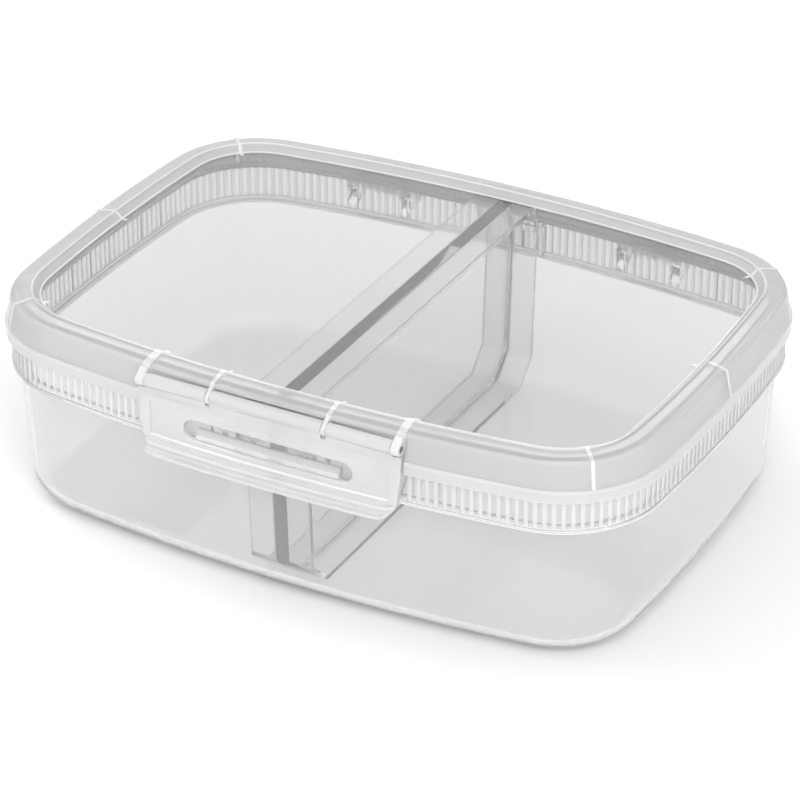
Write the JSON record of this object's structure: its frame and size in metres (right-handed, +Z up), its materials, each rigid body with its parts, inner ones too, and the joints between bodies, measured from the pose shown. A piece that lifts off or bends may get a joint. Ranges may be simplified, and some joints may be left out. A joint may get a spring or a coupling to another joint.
{
  "type": "lunch box",
  "caption": "Clear plastic lunch box with a rear-hinged lid, a front clip that swings down over a catch, and a loose divider between its compartments",
  "frame": {"origin": "middle of the flat base of the tub, on the surface that the box stands on", "axes": "+X along the length of the box, to the right seen from the clip; -Y out of the front, where the clip is; +Z up"},
  "size_m": [0.204, 0.1591, 0.0649],
  "materials": {
    "clear_plastic": "clear moulded plastic with a slight haze",
    "pin_plastic": "smooth translucent plastic rod"
  },
  "bodies": {
    "tub": {"tub": "clear_plastic", "divider": "clear_plastic", "hinge_pin_left": "pin_plastic", "hinge_pin_right": "pin_plastic"},
    "lid": {"lid": "clear_plastic", "clip_rod": "pin_plastic"},
    "clip": {"clip": "clear_plastic"}
  },
  "joints": [
    {"name": "lid_hinge", "type": "hinge", "parent": "tub", "child": "lid", "pos_m": [0, 0.0772, 0.0495], "axis": [-1, 0, 0], "range_deg": [0, 180]},
    {"name": "clip_pivot", "type": "hinge", "parent": "lid", "child": "clip", "pos_m": [0, -0.0732, 0.0599], "axis": [-1, 0, 0], "range_deg": [0, 130]}
  ]
}
